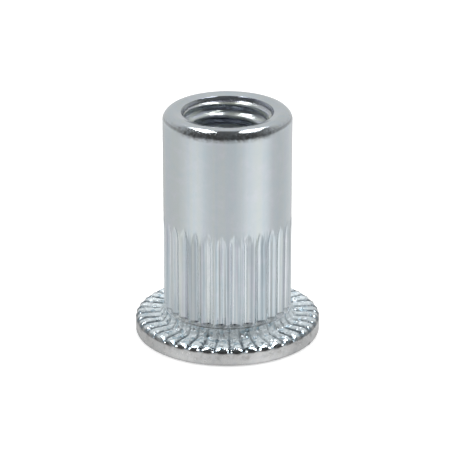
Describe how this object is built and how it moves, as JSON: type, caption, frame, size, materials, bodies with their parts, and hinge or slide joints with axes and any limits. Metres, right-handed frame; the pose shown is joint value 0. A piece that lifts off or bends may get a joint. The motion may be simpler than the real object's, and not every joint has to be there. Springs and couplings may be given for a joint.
{
  "type": "rivet nut",
  "caption": "Blind threaded insert with a round flat flange, a toothed flange underside and a splined barrel, set from one side into a drilled sheet to give it a screw thread.",
  "frame": {"origin": "middle of the flange's flat outer face, on which the nut stands", "axes": "+Z along the axis, from the flange to the threaded end of the barrel; X and Y in the plane of the flange, with a barrel groove and a flange gap on +X"},
  "size_m": [0.013, 0.013, 0.0164],
  "materials": {
    "zinc_plated_steel": "bright zinc plating with a clear blue-white passivate on turned steel"
  },
  "bodies": {
    "root": {"rivet_nut": "zinc_plated_steel"}
  },
  "joints": []
}
